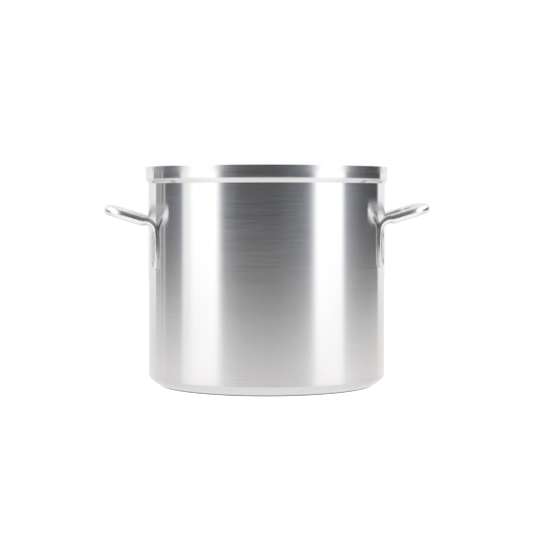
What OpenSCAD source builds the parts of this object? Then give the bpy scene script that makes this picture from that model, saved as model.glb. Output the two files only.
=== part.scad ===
// Stock pot with a stepped rim band, an encapsulated heat-spreading base and
// two welded loop handles. Millimetres, +Z up, origin at the centre of the
// face that the pot rests on. The handles point along -X and +X.

/* [Body] */
// Outside diameter of the wall
body_d = 320; // [300:1:340]
// Height from the resting face to the top of the rim
body_h = 293.5; // [260:0.5:340]
// Thickness of the drawn sheet
wall_t = 1.2; // [1:0.1:1.6]

/* [Rim band] */
// Height of the stepped-out band at the rim
band_h = 18; // [12:0.5:24]
// How far the band stands out from the wall
band_step = 3.4; // [2:0.1:5]
// Height of the slope between the wall and the band
shoulder_h = 4.3; // [4:0.1:8]

/* [Base] */
// Radius of the rounded bottom corner of the capsule
corner_r = 27; // [24:0.5:32]
// Height at which the capsule's corner meets the wall
capsule_h = 13.5; // [12:0.5:15]
// Thickness of the capsule's sheet
capsule_t = 0.8; // [0.6:0.1:1]
// Thickness of the heat-spreading core
core_t = 5.7; // [4.5:0.1:6.5]
// Inside corner radius between the pot's floor and its wall
floor_r = 8; // [6:0.5:10]

/* [Handles] */
// Diameter of the handle rod
rod_d = 13.5; // [12:0.5:14]
// Distance from the pot's axis to the rod's centre at the grip
grip_x = 209.7; // [205:0.1:220]
// Distance between the centres of the two legs
leg_spacing = 128; // [116:1:136]
// Height of the lower end of the right handle's pads
pad_z = 160.6; // [140:0.1:175]
// How much lower the left handle sits
left_drop = 2.5; // [0:0.5:4]
// Length of a leg, from the pad's lower end to the start of the bend
leg_l = 51.7; // [46:0.1:58]
// Angle at which the loop rises above the horizontal
rise = 17.1; // [10:0.1:25]
// Centreline radius of the bend where a leg turns outward
bend_r = 12; // [10:0.5:18]
// Centreline radius of the loop's two corners
loop_r = 24; // [18:1:30]

/* [Welded pads] */
// Width of a pad at its middle
pad_w = 18; // [17:0.5:20]
// Width of a pad at its ends
pad_end_w = 11; // [9:0.5:13]
// Thickness of a pad at its middle
pad_t = 4.5; // [4:0.1:5]
// Thickness of a pad at its widest edges
pad_edge_t = 2; // [1:0.1:3]
// Diameter of a weld nugget
nugget_d = 6; // [5:0.5:7]
// Distance from each end of a pad to its weld nugget
nugget_inset = 9; // [8:0.5:12]

/* [Hidden] */
$fn = 96;
body_r = body_d / 2;
band_r = body_r + band_step;
band_z = body_h - band_h;
floor_z = capsule_t + core_t;
// The bevel that keeps the sheet's thickness even where it turns
turn = wall_t * tan(atan(band_step / shoulder_h) / 2);
// Radius at which the capsule's corner runs into the flat resting face
flat_r = body_r - sqrt(pow(corner_r, 2) - pow(corner_r - capsule_h, 2));
core_r = flat_r + 15;
rod_r = rod_d / 2;
// A leg's rod runs down just clear of the wall
leg_gap = 0.3;
leg_r = body_r + leg_gap + rod_r;
leg_angle = asin(leg_spacing / 2 / leg_r);
leg_x = leg_r * cos(leg_angle);
// Where the bend ends and the rising loop begins
rise_x = leg_x + bend_r * (1 - sin(rise));
rise_z = leg_l + bend_r * cos(rise);
loop_l = (grip_x - rise_x) / cos(rise);
corner_y = leg_spacing / 2 - loop_r;
// How deep a weld nugget reaches into the wall and into the pad
nugget_in = wall_t / 2;
nugget_out = 1.5;
clear = 1;
steel = [0.74, 0.75, 0.76];
bright_steel = [0.86, 0.87, 0.88];
aluminium = [0.62, 0.63, 0.65];
weld_grey = [0.5, 0.47, 0.43];

// Half outline of everything inside the capsule's outer surface, moved inward
// by inset: the wall, the corner's arc and the flat bottom.
module foot_outline(inset) {
    intersection() {
        square([body_r, body_h]);
        union() {
            translate([0, corner_r])
                square([body_r, body_h]);
            translate([flat_r, corner_r])
                circle(corner_r - inset);
            translate([0, inset])
                square([flat_r, corner_r]);
        }
    }
}

// Half outline of the drawn cup below its rim. depth is how far the outline
// lies inside the cup's outer surface.
module cup_outline(depth) {
    arc_r = corner_r - capsule_t;
    gap = arc_r - floor_r - wall_t;
    small_z = floor_z + floor_r + wall_t;
    small_x = flat_r + sqrt(pow(gap, 2) - pow(corner_r - small_z, 2));
    touch = (arc_r - depth) / gap;
    touch_z = corner_r - (corner_r - small_z) * touch;
    intersection() {
        translate([0, floor_z + depth])
            square([body_r - depth, body_h]);
        union() {
            translate([0, corner_r])
                square([body_r - depth, body_h]);
            intersection() {
                translate([flat_r, corner_r])
                    circle(arc_r - depth);
                translate([0, touch_z])
                    square([body_r, body_h]);
            }
            translate([0, touch_z])
                square([flat_r, corner_r]);
            translate([small_x, small_z])
                circle(floor_r + wall_t - depth);
            square([small_x, small_z]);
        }
    }
}

// Half outline that widens from the wall's radius to the band's.
module rim_outline(depth) {
    lift = depth / wall_t * turn;
    polygon([
        [0, band_z - shoulder_h + lift],
        [body_r - depth, band_z - shoulder_h + lift],
        [band_r - depth, band_z + lift],
        [band_r - depth, body_h + depth],
        [0, body_h + depth]
    ]);
}

module below(z) {
    square([band_r + clear, z]);
}

module body_section() {
    edge_r = wall_t / 2;
    difference() {
        union() {
            intersection() {
                cup_outline(0);
                below(band_z);
            }
            rim_outline(0);
        }
        cup_outline(wall_t);
        rim_outline(wall_t);
        translate([0, body_h - edge_r])
            square([band_r + clear, body_h]);
    }
    translate([band_r - edge_r, body_h - edge_r])
        circle(edge_r);
}

// Places its children at each of the two weld nuggets of each leg, with +Z
// pointing straight out of the wall. The leg's lower end is at height 0.
module at_nuggets() {
    for (side = [-1, 1], z = [nugget_inset, leg_l - nugget_inset])
        rotate([0, 0, side * leg_angle])
            translate([body_r, 0, z])
                rotate([0, 90, 0])
                    children();
}

module nuggets() {
    at_nuggets()
        translate([0, 0, -nugget_in])
            cylinder(d = nugget_d, h = nugget_in + nugget_out);
}

module welds(drop) {
    translate([0, 0, pad_z - drop])
        nuggets();
}

// A pad's outline, seen from outside: sides bowed like a leaf, with rounded
// corners at its lower end.
module leaf() {
    bow = (pad_w - pad_end_w) / 2;
    side_r = (pow(leg_l / 2, 2) + pow(bow, 2)) / (2 * bow);
    end_r = pad_end_w / 4;
    intersection() {
        leaf_sides(side_r);
        union() {
            translate([-pad_w / 2, end_r])
                square([pad_w, leg_l - end_r]);
            translate([end_r - pad_end_w / 2, 0])
                square([pad_end_w - 2 * end_r, end_r]);
            for (side = [-1, 1])
                translate([side * (pad_end_w / 2 - end_r), end_r])
                    circle(end_r);
        }
    }
}

// The overlap of two large circles, pad_w wide at half the leaf's height.
module leaf_sides(side_r) {
    intersection() {
        translate([side_r - pad_w / 2, leg_l / 2])
            circle(side_r, $fn = 256);
        translate([pad_w / 2 - side_r, leg_l / 2])
            circle(side_r, $fn = 256);
    }
}

// The flattened end of a leg, curved to the wall and crowned, at azimuth 0.
module pad() {
    // How far the crown falls between the middle of the pad and its edges
    half_w = pad_w / 2;
    fall = pad_t - pad_edge_t + pow(half_w, 2) / body_d;
    crown_r = (pow(half_w, 2) + pow(fall, 2)) / (2 * fall);
    intersection() {
        translate([body_r - pad_w, 0, 0])
            rotate([90, 0, 90])
                linear_extrude(height = 2 * pad_w)
                    leaf();
        difference() {
            translate([body_r + pad_t - crown_r, 0, 0])
                cylinder(r = crown_r, h = leg_l);
            translate([0, 0, -clear])
                cylinder(r = body_r, h = leg_l + 2 * clear, $fn = 360);
        }
    }
}

// The round end of a leg, cut on a slope where it runs out into the pad, at
// azimuth 0. It is a hair thinner than the rod and reaches a little way into
// the rod's bend, so that the two fuse.
module leg_root() {
    root_l = 0.55 * rod_d;
    slope = atan((rod_d - pad_t) / root_l);
    thinner = 0.15;
    overlap = 1.5;
    difference() {
        translate([leg_r, 0, leg_l - root_l])
            cylinder(r = rod_r - thinner, h = root_l + overlap);
        translate([body_r + pad_t, -rod_d, leg_l - root_l])
            rotate([0, slope, 0])
                cube([2 * rod_d, 2 * rod_d, 2 * root_l]);
    }
}

// Everything of the rising loop that lies at -Y, in the loop's own plane: +X
// outward, starting with the bend that turns the rod away from the wall.
module half_loop() {
    straight = loop_l - loop_r;
    translate([0, -leg_spacing / 2, -bend_r])
        rotate([90, 0, 0])
            rotate([0, 0, 90])
                rotate_extrude(angle = 90 - rise)
                    translate([bend_r, 0])
                        circle(d = rod_d);
    translate([0, -leg_spacing / 2, 0])
        rotate([0, 90, 0])
            cylinder(d = rod_d, h = straight);
    translate([straight, -corner_y, 0])
        rotate([0, 0, -90])
            rotate_extrude(angle = 90)
                translate([loop_r, 0])
                    circle(d = rod_d);
}

// Half a handle at -Y, with the lower end of its pad at height 0.
module half_handle() {
    rotate([0, 0, -leg_angle]) {
        pad();
        leg_root();
    }
    translate([rise_x, 0, rise_z])
        rotate([0, -rise, 0])
            half_loop();
}

// A whole handle on the +X side: two halves joined by the bar of the grip.
module handle() {
    difference() {
        union() {
            half_handle();
            mirror([0, 1, 0])
                half_handle();
            translate([rise_x, 0, rise_z])
                rotate([0, -rise, 0])
                    translate([loop_l, -corner_y, 0])
                        rotate([-90, 0, 0])
                            cylinder(d = rod_d, h = 2 * corner_y);
        }
        nuggets();
    }
}

module pot_body() {
    color(steel)
        difference() {
            rotate_extrude($fn = 360)
                body_section();
            welds(0);
            mirror([1, 0, 0])
                welds(left_drop);
        }
}

module base_core() {
    color(aluminium)
        rotate_extrude($fn = 360)
            intersection() {
                foot_outline(capsule_t);
                square([core_r, floor_z]);
            }
}

module base_capsule() {
    color(steel)
        rotate_extrude($fn = 360)
            difference() {
                intersection() {
                    foot_outline(0);
                    below(corner_r);
                }
                foot_outline(capsule_t);
            }
}

module handle_left() {
    color(bright_steel)
        mirror([1, 0, 0])
            translate([0, 0, pad_z - left_drop])
                handle();
}

module handle_right() {
    color(bright_steel)
        translate([0, 0, pad_z])
            handle();
}

module left_handle_welds() {
    color(weld_grey)
        mirror([1, 0, 0])
            welds(left_drop);
}

module right_handle_welds() {
    color(weld_grey)
        welds(0);
}

pot_body();
base_core();
base_capsule();
handle_left();
handle_right();
left_handle_welds();
right_handle_welds();
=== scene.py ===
import math

import bpy
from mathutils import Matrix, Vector


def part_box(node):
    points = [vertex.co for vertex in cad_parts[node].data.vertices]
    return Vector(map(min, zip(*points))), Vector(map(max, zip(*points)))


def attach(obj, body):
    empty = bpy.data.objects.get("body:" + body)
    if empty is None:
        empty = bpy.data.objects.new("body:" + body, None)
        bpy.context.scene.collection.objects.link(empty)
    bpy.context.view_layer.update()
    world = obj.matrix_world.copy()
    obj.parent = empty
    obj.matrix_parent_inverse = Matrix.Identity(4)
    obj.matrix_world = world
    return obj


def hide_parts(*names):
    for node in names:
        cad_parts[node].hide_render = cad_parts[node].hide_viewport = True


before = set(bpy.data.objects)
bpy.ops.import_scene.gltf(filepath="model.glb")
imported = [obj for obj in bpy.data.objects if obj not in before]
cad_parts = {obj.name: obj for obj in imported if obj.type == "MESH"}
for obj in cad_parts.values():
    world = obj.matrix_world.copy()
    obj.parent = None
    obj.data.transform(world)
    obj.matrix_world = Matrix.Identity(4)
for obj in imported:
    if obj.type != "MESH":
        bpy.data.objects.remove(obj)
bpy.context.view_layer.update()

MM = 0.001
BODY = "root"

# ---------------------------------------------------------------- sizes of the pot, from the frame
body_low, body_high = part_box("pot_body")
base_low, base_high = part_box("base_capsule")
RIM_TOP = body_high.z
BAND_R = body_high.x
WALL_R = base_high.x
CORE_TOP = body_low.z
CAPSULE_TOP = base_high.z

# Sheet thicknesses
SHEET = 1.2 * MM
CAPSULE_SHEET = 0.8 * MM

# The base: the capsule's corner radius, its upright lip, and the height at which the two meet
CORNER_R = 27 * MM
LIP_H = 1.68 * MM
KINK_Z = CAPSULE_TOP - LIP_H
# Radius at which the capsule's corner arc runs into the flat resting face
FLAT_R = WALL_R - math.sqrt(CORNER_R ** 2 - (CORNER_R - KINK_Z) ** 2)
# Radius of the bend between the pot's inside floor and its wall, and how far up the wall it ends
FLOOR_BEND_R = 8 * MM
FLOOR_BEND_H = 12 * MM

# The rim: an upright band over a sloping shoulder. The crease is where the band's finish changes
BAND_H = 18 * MM
SHOULDER_H = 4.3 * MM
BAND_LOW_Z = RIM_TOP - BAND_H
SHOULDER_LOW_Z = BAND_LOW_Z - SHOULDER_H
CREASE_Z = RIM_TOP - 8.5 * MM
# Outside radii of the shoulder's two bends, and how far from its ends they reach
SHOULDER_FOOT_R = 0.8 * MM
SHOULDER_TOP_R = 8.0 * MM
SHOULDER_FOOT_REACH = 1.0 * MM
SHOULDER_TOP_REACH = 3.2 * MM

# ---------------------------------------------------------------- sizes of the handles
ROD_R = 6.75 * MM
LEG_SPACING = 128 * MM
LEG_L = 51.7 * MM
LEG_GAP = 0.3 * MM
RISE = math.radians(17.1)
BEND_R = 12 * MM
LOOP_R = 24 * MM
LEG_R = WALL_R + LEG_GAP + ROD_R
LEG_ANGLE = math.asin(LEG_SPACING / 2 / LEG_R)

# The pads: widths at the widest place and at the lower end, thickness, and the widest place's height
PAD_W = 18 * MM
PAD_END_W = 11 * MM
PAD_T = 4.3 * MM
PAD_WIDEST_Z = 29 * MM
# How far past the leg's top the pad's extra width runs out
PAD_RUNOUT = 10 * MM
# The forging starts to fade this far below the leg's top and is gone this far above it
FORGED_BELOW_TOP = 4 * MM
ROUND_ABOVE_TOP = 20 * MM
# Height of the thinned toe at the pad's lower end, and the share of the thickness that it loses
TOE_H = 2 * MM
TOE_THINNING = 0.5
# How much squarer than an ellipse the pad's section is, how much its crown is swollen before it is
# levelled off, and how softly that is done
PAD_SQUARENESS = 1.2
CROWN_SWELL = 0.14
CROWN_SOFTNESS = 0.12 * MM
# How far the pad's back sinks into the wall, so that no slit shows
WALL_BITE = 0.1 * MM

# The electrode marks: their distance from the pad's ends, the dip and the low ring pushed up round it
NUGGET_INSET = 9 * MM
DIP_DEPTH = 0.50 * MM
DIP_R = 2.6 * MM
RING_H = 0.15 * MM
RING_R = 4.4 * MM
RING_W = 1.0 * MM

# ---------------------------------------------------------------- mesh fineness
LATHE_STEPS = 288
ROD_STEPS = 56
BEND_STEPS = 20
BAR_STEPS = 10
LEG_STEP = 1 * MM
FLAT_STEP = 20 * MM
WALL_STEP = 6 * MM
BAND_STEP = 2 * MM


# ---------------------------------------------------------------- mesh helpers
def make_mesh(name, verts, faces, smooth=True):
    """A new mesh object made of these points and faces."""
    mesh = bpy.data.meshes.new(name)
    mesh.from_pydata([tuple(v) for v in verts], [], faces)
    mesh.validate()
    mesh.update()
    for polygon in mesh.polygons:
        polygon.use_smooth = smooth
    piece = bpy.data.objects.new(name, mesh)
    bpy.context.scene.collection.objects.link(piece)
    return piece


def line(start, end, step):
    """Points from start to just before end, about a step apart. The first and last steps are short, which
    keeps the shading of the bends beside the line off it."""
    length = math.dist(start, end)
    count = max(1, round(length / step))
    short = 0.2 * MM / length
    shares = [0] + [min(0.5, short)] if count > 1 else [0]
    shares += [i / count for i in range(1, count)]
    shares += [max(0.5, 1 - short)] if count > 1 else []
    return [tuple(a + (b - a) * s for a, b in zip(start, end)) for s in sorted(set(shares))]


def arc(centre, radius, start, end, steps):
    """Points on an arc, without its last one. Angles in degrees, 0 along +r and 90 along +z."""
    points = []
    for i in range(steps):
        angle = math.radians(start + (end - start) * i / steps)
        points.append((centre[0] + radius * math.cos(angle), centre[1] + radius * math.sin(angle)))
    return points


def fillet(before, corner, after, radius, steps):
    """Points that round the corner between two straight lines, the last one included."""
    a = (Vector(before) - Vector(corner)).normalized()
    b = (Vector(after) - Vector(corner)).normalized()
    half = a.angle(b) / 2
    reach = radius / math.tan(half)
    centre = Vector(corner) + (a + b).normalized() * (radius / math.sin(half))
    first = Vector(corner) + a * reach - centre
    last = Vector(corner) + b * reach - centre
    turn = first.angle(last)
    points = []
    for i in range(steps + 1):
        share = i / steps
        spoke = (first * math.sin((1 - share) * turn) + last * math.sin(share * turn)) / math.sin(turn)
        points.append(tuple(centre + spoke))
    return points


def lathe(name, outline, sharp):
    """Turns an outline of (radius, height) points round Z. Rings at the sharp indices shade as creases."""
    verts, faces, rings = [], [], []
    for radius, height in outline:
        if radius < 1e-6:
            rings.append([len(verts)])
            verts.append((0, 0, height))
            continue
        rings.append(range(len(verts), len(verts) + LATHE_STEPS))
        for i in range(LATHE_STEPS):
            angle = 2 * math.pi * i / LATHE_STEPS
            verts.append((radius * math.cos(angle), radius * math.sin(angle), height))
    for low, high in zip(rings, rings[1:]):
        for i in range(LATHE_STEPS):
            j = (i + 1) % LATHE_STEPS
            if len(low) == 1:
                faces.append((low[0], high[j], high[i]))
            elif len(high) == 1:
                faces.append((low[i], low[j], high[0]))
            else:
                faces.append((low[i], low[j], high[j], high[i]))
    piece = make_mesh(name, verts, faces)
    creased = {v for k in sharp for v in rings[k]}
    for edge in piece.data.edges:
        if edge.vertices[0] in creased and edge.vertices[1] in creased:
            a, b = (piece.data.vertices[v].co for v in edge.vertices)
            if abs(a.z - b.z) < 1e-9:
                edge.use_edge_sharp = True
    return piece


def finish_piece(piece, material, node):
    """Gives a piece its material and its body, and hides the CAD node that it stands for."""
    piece.data.materials.append(material)
    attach(piece, BODY)
    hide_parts(node)


def smoothstep(value, low, high):
    """0 at low, 1 at high and smooth between them."""
    share = min(1.0, max(0.0, (value - low) / (high - low)))
    return share * share * (3 - 2 * share)


# ---------------------------------------------------------------- material helpers
class Nodes:
    """Short ways to add nodes to one material or world."""

    def __init__(self, tree):
        self.tree = tree
        tree.nodes.clear()

    def add(self, kind, **settings):
        node = self.tree.nodes.new(kind)
        for key, value in settings.items():
            setattr(node, key, value)
        return node

    def link(self, source, target):
        self.tree.links.new(source, target)

    def feed(self, node, inputs):
        for key, value in inputs.items():
            if isinstance(value, bpy.types.NodeSocket):
                self.link(value, node.inputs[key])
            else:
                node.inputs[key].default_value = value
        return node

    def math(self, operation, a, b=0.0):
        node = self.add("ShaderNodeMath", operation=operation)
        return self.feed(node, {0: a, 1: b}).outputs[0]

    def separate(self, vector):
        node = self.add("ShaderNodeSeparateXYZ")
        self.link(vector, node.inputs[0])
        return node.outputs

    def scaled(self, vector, scale):
        node = self.add("ShaderNodeMapping")
        return self.feed(node, {"Vector": vector, "Scale": scale}).outputs[0]

    def noise(self, vector, scale, detail, roughness):
        node = self.add("ShaderNodeTexNoise")
        inputs = {"Vector": vector, "Scale": scale, "Detail": detail, "Roughness": roughness}
        return self.feed(node, inputs).outputs["Fac"]

    def remap(self, value, low, high, to_low, to_high, smooth=False):
        node = self.add("ShaderNodeMapRange")
        node.interpolation_type = "SMOOTHSTEP" if smooth else "LINEAR"
        inputs = {"Value": value, "From Min": low, "From Max": high, "To Min": to_low, "To Max": to_high}
        return self.feed(node, inputs).outputs[0]

    def mix(self, factor, a, b):
        node = self.add("ShaderNodeMix", data_type="FLOAT")
        return self.feed(node, {0: factor, 2: a, 3: b}).outputs[0]

    def mix_colour(self, factor, a, b):
        node = self.add("ShaderNodeMix", data_type="RGBA")
        return self.feed(node, {0: factor, 6: a, 7: b}).outputs[2]

    def mix_shaders(self, factor, a, b):
        node = self.add("ShaderNodeMixShader")
        return self.feed(node, {0: factor, 1: a, 2: b}).outputs[0]

    def bump(self, height, strength, distance):
        node = self.add("ShaderNodeBump")
        return self.feed(node, {"Height": height, "Strength": strength, "Distance": distance}).outputs[0]

    def distance_from_axis(self, x, y):
        squares = self.math("ADD", self.math("POWER", x, 2.0), self.math("POWER", y, 2.0))
        return self.math("SQRT", squares)

    def output(self, shader, kind="ShaderNodeOutputMaterial"):
        self.link(shader, self.add(kind).inputs[0])


def new_material(name):
    material = bpy.data.materials.new(name)
    material.use_nodes = True
    return material, Nodes(material.node_tree)


def object_position(n):
    return n.add("ShaderNodeTexCoord").outputs["Object"]


def shade(tone, factor):
    """The tone made darker or lighter, as a shader's colour."""
    return tuple(min(1, c * factor) for c in tone) + (1,)


# ---------------------------------------------------------------- materials
# Distance between brush lines, and how often a line changes on its way round the pot
BRUSH_GRAIN = 0.95 * MM
BRUSH_TURNS = 1.8
# The largest share of the light that the brush lines scatter widely, and how widely
SCRATCH_SHARE = 0.026
SCRATCH_ROUGHNESS = 0.75
# A quarter turn lays the long axis of the anisotropic highlight up the wall
ACROSS_THE_LINES = 0.25
WELD_STRAW = (0.74, 0.69, 0.62, 1)


def round_coords(n, grain):
    """Coordinates in which a texture's grain runs round Z, with steps of the grain across it."""
    x, y, z = n.separate(object_position(n))
    radius = n.distance_from_axis(x, y)
    angle = n.math("ARCTAN2", y, x)
    joined = n.add("ShaderNodeCombineXYZ")
    across = n.math("MULTIPLY", n.math("ADD", radius, z), 1 / grain)
    n.feed(joined, {0: n.math("COSINE", angle), 1: n.math("SINE", angle), 2: across})
    return joined.outputs[0]


def brushed_steel(name, tone, rough, stretch, grain_bump):
    """Stainless sheet with fine brush lines that run round the pot. The lines scatter a little light
    widely."""
    material, n = new_material(name)
    coords = n.scaled(round_coords(n, BRUSH_GRAIN), (BRUSH_TURNS, BRUSH_TURNS, 1.0))
    lines = n.noise(coords, 1.0, 2.0, 0.5)
    colour = n.mix_colour(n.remap(lines, 0.3, 0.7, 0.0, 1.0), shade(tone, 0.99), shade(tone, 1.01))
    shader = n.add("ShaderNodeBsdfPrincipled")
    n.feed(shader, {
        "Base Color": colour,
        "Metallic": 1.0,
        "Roughness": n.remap(lines, 0.3, 0.7, rough * 0.94, rough * 1.06),
        "Anisotropic": stretch,
        "Anisotropic Rotation": ACROSS_THE_LINES,
        "Tangent": n.add("ShaderNodeTangent", direction_type="RADIAL", axis="Z").outputs[0],
        "Normal": n.bump(lines, grain_bump, 0.05 * MM),
    })
    scratches = n.add("ShaderNodeBsdfPrincipled")
    n.feed(scratches, {"Base Color": (1, 1, 1, 1), "Metallic": 1.0, "Roughness": SCRATCH_ROUGHNESS})
    share = n.remap(lines, 0.40, 0.60, 0.0, SCRATCH_SHARE)
    n.output(n.mix_shaders(share, shader.outputs[0], scratches.outputs[0]))
    return material


def polished_steel(name, tone, rough):
    """Bright rod with a pebbled ripple left by polishing, a few soft scratches and smudges."""
    material, n = new_material(name)
    position = object_position(n)
    ripple = n.noise(position, 90.0, 2.0, 0.5)
    pebbles = n.noise(position, 700.0, 2.0, 0.5)
    scratches = n.noise(n.scaled(position, (200.0, 900.0, 900.0)), 1.0, 3.0, 0.6)
    smudges = n.noise(position, 38.0, 3.0, 0.55)
    height = n.math("ADD", ripple, n.math("MULTIPLY", scratches, 0.05))
    height = n.math("ADD", height, pebbles)
    # Next to the wall, welding has left the rod dull and straw-coloured
    x, y, z = n.separate(position)
    seam = n.remap(n.distance_from_axis(x, y), WALL_R + 0.3 * MM, WALL_R + 0.8 * MM, 1.0, 0.0, smooth=True)
    clean = n.mix_colour(smudges, shade(tone, 0.97), shade(tone, 1.02))
    shader = n.add("ShaderNodeBsdfPrincipled")
    n.feed(shader, {
        "Base Color": n.mix_colour(seam, clean, WELD_STRAW),
        "Metallic": 1.0,
        "Roughness": n.mix(seam, n.remap(smudges, 0.3, 0.7, rough * 0.85, rough * 1.2), 0.6),
        "Normal": n.bump(height, 0.25, 0.12 * MM),
    })
    n.output(shader.outputs[0])
    return material


def cast_metal(name, tone, rough, grain):
    """Dull metal with a fine grain, for what lies inside the base and the welds."""
    material, n = new_material(name)
    grains = n.noise(object_position(n), grain, 4.0, 0.6)
    shader = n.add("ShaderNodeBsdfPrincipled")
    n.feed(shader, {
        "Base Color": n.mix_colour(grains, shade(tone, 0.85), shade(tone, 1.1)),
        "Metallic": 1.0,
        "Roughness": n.remap(grains, 0.3, 0.7, rough * 0.8, rough * 1.2),
        "Normal": n.bump(grains, 0.3, 0.1 * MM),
    })
    n.output(shader.outputs[0])
    return material


# ---------------------------------------------------------------- the pot's body
def body_outline():
    """The drawn cup from the middle of its underside, up the outside, over the rim and down the inside.
    Also the index of the ring at the seam over the capsule."""
    corner_r = CORNER_R - CAPSULE_SHEET
    corner = (FLAT_R, CORNER_R)
    # The bottom's bend touches the underside and, from inside, the capsule's arc
    bend_r = FLOOR_BEND_R + SHEET
    bend_z = CORE_TOP + bend_r
    bend = (FLAT_R + math.sqrt((corner_r - bend_r) ** 2 - (CORNER_R - bend_z) ** 2), bend_z)
    touch = math.degrees(math.atan2(bend[1] - CORNER_R, bend[0] - FLAT_R))
    wall_start = math.degrees(math.asin((CAPSULE_TOP - CORNER_R) / corner_r))
    floor_z = CORE_TOP + SHEET
    inner_r = WALL_R - SHEET
    inner_band = BAND_R - SHEET
    edge_r = SHEET / 2
    edge_z = RIM_TOP - edge_r
    # How much higher the shoulder's inside corners are than its outside ones
    slope = math.atan2(BAND_R - WALL_R, BAND_LOW_Z - SHOULDER_LOW_Z)
    turn = SHEET * math.tan(slope / 2)
    shoulder_foot = SHOULDER_LOW_Z - SHOULDER_FOOT_REACH

    points = [(0.0, CORE_TOP)]
    points += line((FLAT_STEP, CORE_TOP), (bend[0], CORE_TOP), FLAT_STEP)
    points += arc(bend, bend_r, -90, touch, 8)
    points += arc(corner, corner_r, touch, wall_start, 6)
    seam = len(points)
    points += [(WALL_R, CAPSULE_TOP + 0.02 * MM)]
    points += line((WALL_R, CAPSULE_TOP + 0.3 * MM), (WALL_R, shoulder_foot), WALL_STEP)
    low, high = (WALL_R, SHOULDER_LOW_Z), (BAND_R, BAND_LOW_Z)
    points += fillet((WALL_R, 0), low, high, SHOULDER_FOOT_R, 5)
    points += fillet(low, high, (BAND_R, RIM_TOP), SHOULDER_TOP_R, 10)
    points += line((BAND_R, BAND_LOW_Z + SHOULDER_TOP_REACH), (BAND_R, CREASE_Z), BAND_STEP)
    points += line((BAND_R, CREASE_Z), (BAND_R, edge_z), BAND_STEP)
    points += arc((BAND_R - edge_r, edge_z), edge_r, 0, 180, 12)
    points += line((inner_band, edge_z), (inner_band, BAND_LOW_Z + turn + SHOULDER_TOP_REACH), BAND_STEP)
    low, high = (inner_r, SHOULDER_LOW_Z + turn), (inner_band, BAND_LOW_Z + turn)
    points += fillet((inner_band, RIM_TOP), high, low, SHOULDER_TOP_R - SHEET, 10)
    points += fillet(high, low, (inner_r, 0), SHOULDER_FOOT_R + SHEET, 5)
    points += line((inner_r, shoulder_foot), (inner_r, floor_z + FLOOR_BEND_H), WALL_STEP)
    wall_end = math.degrees(math.acos(min(1.0, (inner_r - bend[0]) / FLOOR_BEND_R)))
    points += arc(bend, FLOOR_BEND_R, wall_end, -90, 10)
    points += line((bend[0], floor_z), (FLAT_STEP, floor_z), FLAT_STEP)
    points += [(FLAT_STEP, floor_z), (0.0, floor_z)]
    return points, [seam]


def build_body(material, rim_material):
    outline, sharp = body_outline()
    piece = lathe("pot_body_shell", outline, sharp)
    finish_piece(piece, material, "pot_body")
    piece.data.materials.append(rim_material)
    for polygon in piece.data.polygons:
        if polygon.center.z > CREASE_Z:
            polygon.material_index = 1


# ---------------------------------------------------------------- the base
def capsule_outline():
    """The thin steel cap over the base: its flat face, its corner arc, its lip and its inside. Also the
    indices of the rings at the lip's two edges."""
    inner_r = CORNER_R - CAPSULE_SHEET
    corner = (FLAT_R, CORNER_R)
    kink = math.degrees(math.asin((KINK_Z - CORNER_R) / CORNER_R))
    lip = math.degrees(math.asin((CAPSULE_TOP - CORNER_R) / inner_r))
    points = [(0.0, 0.0)]
    points += line((FLAT_STEP, 0.0), (FLAT_R, 0.0), FLAT_STEP)
    points += arc(corner, CORNER_R, -90, kink, 16)
    kink_ring = len(points)
    points += [(WALL_R, KINK_Z), (WALL_R, CAPSULE_TOP - 0.05 * MM)]
    lip_ring = len(points) - 1
    points += arc(corner, inner_r, lip - 1, -90, 12)
    points += [(FLAT_R, CAPSULE_SHEET), (0.0, CAPSULE_SHEET)]
    return points, [kink_ring, lip_ring]


def build_base(material):
    outline, sharp = capsule_outline()
    piece = lathe("base_capsule_shell", outline, sharp)
    finish_piece(piece, material, "base_capsule")


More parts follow.
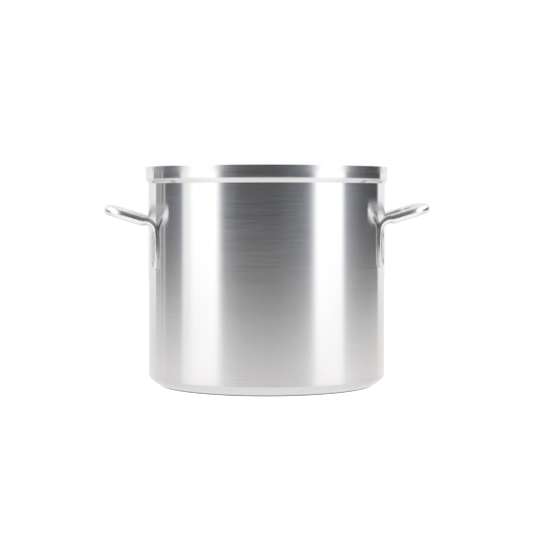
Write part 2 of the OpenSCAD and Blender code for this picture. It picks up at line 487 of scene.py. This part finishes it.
# ---------------------------------------------------------------- the handles
def handle_path(grip_x):
    """Stations along half a handle, from a pad's lower end to the middle of the grip. Each is
    (distance along the rod, centre, direction), for a handle on the +X side and its leg on the +Y side.
    Heights are above the pad's lower end."""
    leg_x = LEG_R * math.cos(LEG_ANGLE)
    leg_y = LEG_SPACING / 2
    stations = []
    # Up the leg
    count = round(LEG_L / LEG_STEP)
    for i in range(count):
        z = LEG_L * i / count
        stations.append((z, Vector((leg_x, leg_y, z)), Vector((0, 0, 1))))
    travelled = LEG_L
    # Round the bend, outwards
    turn = math.pi / 2 - RISE
    for i in range(BEND_STEPS):
        angle = turn * i / BEND_STEPS
        centre = Vector((leg_x + BEND_R * (1 - math.cos(angle)), leg_y, LEG_L + BEND_R * math.sin(angle)))
        along = Vector((math.sin(angle), 0, math.cos(angle)))
        stations.append((travelled + BEND_R * angle, centre, along))
    travelled += BEND_R * turn
    # Straight out, rising
    out = Vector((math.cos(RISE), 0, math.sin(RISE)))
    start = Vector((leg_x + BEND_R * (1 - math.sin(RISE)), leg_y, LEG_L + BEND_R * math.cos(RISE)))
    straight = (grip_x - start.x) / math.cos(RISE) - LOOP_R
    for i in range(BAR_STEPS):
        s = straight * i / BAR_STEPS
        stations.append((travelled + s, start + out * s, out))
    travelled += straight
    # Round the loop's corner
    corner = start + out * straight + Vector((0, -LOOP_R, 0))
    for i in range(BEND_STEPS):
        angle = math.pi / 2 * i / BEND_STEPS
        spoke = out * math.sin(angle) + Vector((0, math.cos(angle), 0))
        along = out * math.cos(angle) - Vector((0, math.sin(angle), 0))
        stations.append((travelled + LOOP_R * angle, corner + spoke * LOOP_R, along))
    travelled += LOOP_R * math.pi / 2
    # Along the grip to its middle
    bar_start = corner + out * LOOP_R
    for i in range(BAR_STEPS + 1):
        y = bar_start.y * (1 - i / BAR_STEPS)
        centre = Vector((bar_start.x, y, bar_start.z))
        stations.append((travelled + bar_start.y - y, centre, Vector((0, -1, 0))))
    return stations


def leg_half_width(distance):
    """Half the width of a leg: narrow and round-cornered at the pad's lower end, widest at the pad's
    middle, and back to the round rod's in the bend."""
    if distance > PAD_WIDEST_Z:
        extra = 1 - smoothstep(distance, PAD_WIDEST_Z, LEG_L + PAD_RUNOUT)
        return ROD_R + (PAD_W / 2 - ROD_R) * extra
    end_r = PAD_END_W / 4
    half = PAD_W / 2 - (PAD_W - PAD_END_W) / 2 * (1 - distance / PAD_WIDEST_Z) ** 2
    if distance < end_r:
        half -= end_r - math.sqrt(end_r ** 2 - (end_r - distance) ** 2)
    return half


def weld_dimple(u, z):
    """How deep the electrode marks press into the pad's outer face."""
    depth = 0.0
    for centre in (NUGGET_INSET, LEG_L - NUGGET_INSET):
        distance = math.hypot(u, z - centre)
        depth += DIP_DEPTH * math.exp(-(distance / DIP_R) ** 2)
        depth -= RING_H * math.exp(-((distance - RING_R) / RING_W) ** 2)
    return depth


def leg_flatness(distance):
    """1 where the rod is forged flat against the wall and 0 where it is round."""
    return 1 - smoothstep(distance, LEG_L - FORGED_BELOW_TOP, LEG_L + ROUND_ABOVE_TOP)


def flatten_crown(height, limit, flat):
    """Levels off the pad's crown just under a limiting height, with a soft shoulder."""
    level = limit - CROWN_SOFTNESS * math.log(1 + math.exp((limit - height) / CROWN_SOFTNESS))
    return height + (level - height) * flat


def rod_section(distance):
    """One ring of points, as (sideways, outward) offsets from the leg's line. The round rod is forged
    into a crowned leaf that follows the wall."""
    flat = leg_flatness(distance)
    width = leg_half_width(distance)
    front = ROD_R + (PAD_T - ROD_R) * flat
    back = ROD_R * (1 - flat)
    # Where the front half of the section meets its back half, which is at the wall on the pad
    split = -(LEG_GAP + ROD_R + WALL_BITE) * flat
    power = 2 + PAD_SQUARENESS * flat
    tip = 1.0
    if distance < TOE_H:
        tip = 1 - TOE_THINNING * (1 - math.sqrt(1 - (1 - distance / TOE_H) ** 2))
    ring = []
    for i in range(ROD_STEPS):
        angle = 2 * math.pi * i / ROD_STEPS
        c, s = math.cos(angle), math.sin(angle)
        u = width * math.copysign(abs(c) ** (2 / power), c)
        v = (front * tip if s > 0 else back) * math.copysign(abs(s) ** (2 / power), s)
        if s > 0:
            v = flatten_crown(v * (1 + CROWN_SWELL * flat), front * tip, flat)
            v -= flat * smoothstep(v, 0, front * 0.5) * weld_dimple(u, distance)
        else:
            v -= flat * u * u / (2 * WALL_R)
        ring.append((u, v + split))
    return ring


def crease_pad_edges(piece, half):
    """Marks the two edges of each pad, where its crown meets its back, as sharp."""
    flat_rings = [k for k, station in enumerate(half) if leg_flatness(station[0]) > 0.9]
    last_ring = len(piece.data.vertices) // ROD_STEPS - 1
    creased = set()
    for k in flat_rings:
        for i in (0, ROD_STEPS // 2):
            creased |= {k * ROD_STEPS + i, (last_ring - k) * ROD_STEPS + i}
    for edge in piece.data.edges:
        a, b = edge.vertices
        if a in creased and b in creased and abs(a - b) == ROD_STEPS:
            edge.use_edge_sharp = True


def build_handle(name, node, side, material):
    """A bent, forged and welded rod handle. side is 1 on the +X side and -1 on the -X side."""
    low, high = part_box(node)
    reach = high.x if side > 0 else -low.x
    half = handle_path(reach - ROD_R)
    outward = Vector((math.cos(LEG_ANGLE), math.sin(LEG_ANGLE), 0))
    sideways = Vector((-math.sin(LEG_ANGLE), math.cos(LEG_ANGLE), 0))
    verts, rings, before = [], [], Vector((0, 0, 1))
    for distance, centre, along in half:
        swing = before.rotation_difference(along).to_matrix()
        outward, sideways, before = swing @ outward, swing @ sideways, along
        ring = rod_section(distance)
        rings.append([centre + sideways * u + outward * v for u, v in ring])
    mirrored = [[Vector((p.x, -p.y, p.z)) for p in ring] for ring in rings[:-1]]
    loop = rings + mirrored[::-1]
    faces = []
    for ring in loop:
        verts += [(side * p.x, p.y, p.z + low.z) for p in ring]
    for k in range(len(loop) - 1):
        for i in range(ROD_STEPS):
            j = (i + 1) % ROD_STEPS
            a, b = k * ROD_STEPS, (k + 1) * ROD_STEPS
            faces.append((a + i, a + j, b + j, b + i))
    last = (len(loop) - 1) * ROD_STEPS
    faces.append(tuple(range(ROD_STEPS))[::-1])
    faces.append(tuple(last + i for i in range(ROD_STEPS)))
    if side > 0:
        faces = [f[::-1] for f in faces]
    piece = make_mesh(name, verts, faces)
    crease_pad_edges(piece, half)
    finish_piece(piece, material, node)


# ---------------------------------------------------------------- the studio
TABLE_FRONT_Y = -1.16
TABLE_BACK_Y = 3.0
TABLE_HALF_W = 1.9
TABLE_COLOUR = (1.0, 0.98, 0.965, 1)
# What the camera sees of the table, and how dark the painted contact shadow is where the pot meets it, and
# how wide
TABLE_LIGHT = 1.5
CONTACT_LIGHT = 0.12
CONTACT_REACH = 1.5 * MM
# Brightness of the table right beside the pot, in front of it and at its sides, as the pot reflects it:
# painted light, since the table glows instead of being lit
NEAR_FRONT_LIGHT = 1.19
NEAR_SIDE_LIGHT = 1.02

# Brightness of the studio round the pot: (degrees from the camera's side towards +X, brightness).
# These stops are not a free design. They started as levels that a scratch program worked out from the
# brightness of the photograph's wall, column by column, and were then thinned, rounded and adjusted.
# report.md says which rules that breaks.
STUDIO_LEFT = [
    (-180, 1.00), (-157, 1.02), (-149, 1.14), (-137.2, 1.28), (-134.8, 0.30), (-132.8, 0.17),
    (-130.4, 0.80), (-128.0, 0.15), (-125.0, 0.82), (-121.8, 0.05), (-118.2, 1.00), (-115.8, 0.15),
    (-107, 0.11), (-101, 0.14), (-96, 0.17), (-93, 0.27), (-91, 0.41), (-89, 1.10), (-86, 1.32),
    (-81.5, 1.34), (-79, 1.60), (-74, 1.75), (-51.5, 1.75), (-49.5, 1.42), (-45.5, 0.62), (-42.5, 0.25),
    (-38.5, 0.11), (-30, 0.07), (-18, 0.05), (0, 0.05),
]
STUDIO_RIGHT = [
    (0, 0.05), (7, 0.05), (12, 0.07), (24, 0.13), (34, 0.17), (38, 0.28), (41.3, 0.60), (43.4, 0.95),
    (46, 1.52), (48, 1.75), (74.4, 1.75), (76.4, 1.20), (78.4, 0.72), (81, 0.37), (85, 0.24), (90, 0.14),
    (97, 0.07), (105, 0.04), (129, 0.05), (133.6, 0.09), (135.2, 1.20), (138, 1.28), (143, 1.22),
    (150, 1.12), (158, 1.02), (180, 1.00),
]
# Brightness of the table away from the pot: (degrees from the camera's side, brightness), both sides
# alike. Listed and changed after reading brightness differences between the photograph and renders.
# Painted light: these levels are the table's glow, not light falling on it
TABLE_RING = [
    (0, 1.22), (20, 1.26), (38, 1.38), (50, 1.48), (64, 1.40), (78, 1.28), (95, 1.18), (125, 1.04),
    (180, 1.00),
]
# No brightness in the lists is higher than this
RING_TOP = 1.8

# Limits on the x, y and z of a direction into the studio, each a pair that a change runs between
STRIP_START_Y = (0.28, 0.34)
STRIP_END_Y = (0.54, 0.58)
STRIP_FOOT_Z = (-0.04, 0.01)
ABOVE_Z = (0.22, 0.40)
ABOVE_BACK_Y = (-0.40, 0.0)
PANEL_SIDE_X = (0.42, 0.62)
PANEL_END_Y = (0.25, 0.60)
LEFT_BACK_Y = (0.28, 0.42)
NEUTRAL_Z = (0.10, 0.22)
# Brightness from which to which the bluish tint fades
NEUTRAL_LIGHT = (0.1, 1.1)
COOL_TINT = (0.84, 0.975, 1.20, 1)
STRIP_DIMMING = 0.40
ABOVE_FRONT_LIGHT = 0.22
ABOVE_BACK_LIGHT = 1.15
PANEL_LIGHT = 2.40


def brightness_ramp(n, azimuth, stops):
    """Reads the brightness at an azimuth from a list of (degrees, brightness) stops."""
    start, end = stops[0][0], stops[-1][0]
    node = n.add("ShaderNodeValToRGB")
    elements = node.color_ramp.elements
    while len(elements) < len(stops):
        elements.new(0.5)
    for element, (degrees, level) in zip(elements, stops):
        element.position = (degrees - start) / (end - start)
        element.color = (level / RING_TOP,) * 3 + (1,)
    n.link(n.remap(azimuth, math.radians(start), math.radians(end), 0.0, 1.0), node.inputs[0])
    return n.math("MULTIPLY", node.outputs[0], RING_TOP)


def studio_world():
    """A studio wrapped round the table: panels at both sides, a white backdrop, and dark beyond the
    camera. The camera itself sees plain white."""
    world = bpy.data.worlds.new("studio")
    world.use_nodes = True
    bpy.context.scene.world = world
    n = Nodes(world.node_tree)
    x, y, z = n.separate(n.add("ShaderNodeTexCoord").outputs["Generated"])
    azimuth = n.math("ARCTAN2", x, n.math("MULTIPLY", y, -1.0))
    on_left = n.math("LESS_THAN", x, 0.0)
    ring = n.mix(
        n.math("GREATER_THAN", x, 0.0),
        brightness_ramp(n, azimuth, STUDIO_LEFT),
        brightness_ramp(n, azimuth, STUDIO_RIGHT),
    )
    # The lit strip at the back on the left stands on the ground, where it is dimmer
    strip = n.math("MULTIPLY", n.remap(y, *STRIP_START_Y, 0.0, 1.0), n.remap(y, *STRIP_END_Y, 1.0, 0.0))
    strip = n.math("MULTIPLY", strip, on_left)
    dimming = n.math("MULTIPLY", strip, n.remap(z, *STRIP_FOOT_Z, STRIP_DIMMING, 0.0))
    ring = n.math("MULTIPLY", ring, n.math("SUBTRACT", 1.0, dimming))
    # Higher up, the side panels lean over the table and the backdrop rises behind it
    behind = n.remap(y, *ABOVE_BACK_Y, 0.0, 1.0, smooth=True)
    above = n.mix(behind, ABOVE_FRONT_LIGHT, ABOVE_BACK_LIGHT)
    to_side = n.remap(n.math("ABSOLUTE", x), *PANEL_SIDE_X, 0.0, 1.0, smooth=True)
    panels = n.math("MULTIPLY", to_side, n.remap(y, *PANEL_END_Y, 1.0, 0.0, smooth=True))
    above = n.mix(panels, above, PANEL_LIGHT)
    light = n.mix(n.remap(z, *ABOVE_Z, 0.0, 1.0, smooth=True), ring, above)
    # The dark screens near the horizon are bluish, apart from the ones behind the pot on the left
    left_back = n.math("MULTIPLY", on_left, n.remap(y, *LEFT_BACK_Y, 0.0, 1.0))
    higher = n.remap(z, *NEUTRAL_Z, 0.0, 1.0)
    bright = n.remap(light, *NEUTRAL_LIGHT, 0.0, 1.0)
    neutral = n.math("MAXIMUM", bright, n.math("MAXIMUM", left_back, higher))
    tint = n.mix_colour(neutral, COOL_TINT, (1.0, 1.0, 1.0, 1))
    glow = n.add("ShaderNodeBackground")
    n.feed(glow, {"Color": tint, "Strength": light})
    white = n.add("ShaderNodeBackground")
    n.feed(white, {"Color": (1, 1, 1, 1), "Strength": 1.0})
    seen = n.add("ShaderNodeLightPath").outputs["Is Camera Ray"]
    n.output(n.mix_shaders(seen, glow.outputs[0], white.outputs[0]), "ShaderNodeOutputWorld")


def studio_floor():
    """The white table top, with painted light: it glows softly as a well-lit sheet does, more so towards
    the side panels, and a painted contact shadow darkens it where the pot meets it."""
    corners = [
        (-TABLE_HALF_W, TABLE_FRONT_Y, 0), (TABLE_HALF_W, TABLE_FRONT_Y, 0),
        (TABLE_HALF_W, TABLE_BACK_Y, 0), (-TABLE_HALF_W, TABLE_BACK_Y, 0),
    ]
    floor = make_mesh("table_floor", corners, [(0, 1, 2, 3)], smooth=False)
    material, n = new_material("table_white")
    # Painted contact shadow: ambient occlusion darkens the table's glow where the pot meets it
    open_sky = n.add("ShaderNodeAmbientOcclusion", samples=8)
    open_sky.inputs["Distance"].default_value = CONTACT_REACH
    painted_contact_shade = n.remap(open_sky.outputs["AO"], 0.0, 1.0, CONTACT_LIGHT, 1.0)
    # Painted light: the glow is brighter right in front of the pot and changes with direction further out
    x, y, z = n.separate(object_position(n))
    azimuth = n.math("ARCTAN2", n.math("ABSOLUTE", x), n.math("MULTIPLY", y, -1.0))
    to_side = n.remap(azimuth, math.radians(30), math.radians(65), 0.0, 1.0, smooth=True)
    near = n.mix(to_side, NEAR_FRONT_LIGHT, NEAR_SIDE_LIGHT)
    away = n.remap(n.distance_from_axis(x, y), WALL_R + 10 * MM, WALL_R + 120 * MM, 0.0, 1.0, smooth=True)
    table = n.mix(away, near, brightness_ramp(n, azimuth, TABLE_RING))
    seen = n.add("ShaderNodeLightPath").outputs["Is Camera Ray"]
    level = n.mix(seen, table, TABLE_LIGHT)
    glow = n.add("ShaderNodeEmission")
    n.feed(glow, {"Color": TABLE_COLOUR, "Strength": n.math("MULTIPLY", painted_contact_shade, level)})
    n.output(glow.outputs[0])
    floor.data.materials.append(material)


# ---------------------------------------------------------------- the camera
CAMERA_DISTANCE = 2.114
CAMERA_HEIGHT = 0.2436
CAMERA_YAW = math.radians(2.05)
CAMERA_PITCH = 0.007
CAMERA_SENSOR_MM = 36
CAMERA_LENS_MM = 105.23
CAMERA_SHIFT_Y = -0.0964
CAMERA_FAR = 20


def studio_camera():
    """The photograph's viewpoint: a long lens a little under the rim's height, slightly from the left."""
    data = bpy.data.cameras.new("camera")
    data.sensor_width = CAMERA_SENSOR_MM
    data.lens = CAMERA_LENS_MM
    data.shift_y = CAMERA_SHIFT_Y
    data.clip_end = CAMERA_FAR
    camera = bpy.data.objects.new("camera", data)
    x = -CAMERA_DISTANCE * math.sin(CAMERA_YAW)
    y = -CAMERA_DISTANCE * math.cos(CAMERA_YAW)
    camera.location = (x, y, CAMERA_HEIGHT)
    camera.rotation_euler = (math.pi / 2 - CAMERA_PITCH, 0, -CAMERA_YAW)
    bpy.context.scene.collection.objects.link(camera)
    bpy.context.scene.camera = camera


# ---------------------------------------------------------------- putting it together
STEEL = (0.60, 0.60, 0.605)
wall_steel = brushed_steel("brushed_wall_steel", STEEL, rough=0.174, stretch=0.97, grain_bump=0.70)
rim_steel = brushed_steel("rim_steel", STEEL, rough=0.245, stretch=0.58, grain_bump=0.40)
base_steel = brushed_steel("turned_base_steel", STEEL, rough=0.174, stretch=0.97, grain_bump=0.30)
rod_steel = polished_steel("polished_rod_steel", (0.67, 0.68, 0.69), rough=0.30)
aluminium = cast_metal("core_aluminium", (0.80, 0.80, 0.81), rough=0.45, grain=900.0)
weld_steel = cast_metal("weld_steel", (0.50, 0.46, 0.41), rough=0.40, grain=1500.0)

build_body(wall_steel, rim_steel)
build_base(base_steel)
build_handle("handle_left_rod", "handle_left", -1, rod_steel)
build_handle("handle_right_rod", "handle_right", 1, rod_steel)
for node, material, slot in (
    ("base_core", aluminium, "core_metal"),
    ("left_handle_welds", weld_steel, "weld_metal"),
    ("right_handle_welds", weld_steel, "weld_metal"),
):
    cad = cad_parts[node]
    cad.data.materials.clear()
    cad.data.materials.append(material)

studio_world()
studio_floor()
studio_camera()
bpy.context.scene.view_settings.view_transform = "Standard"
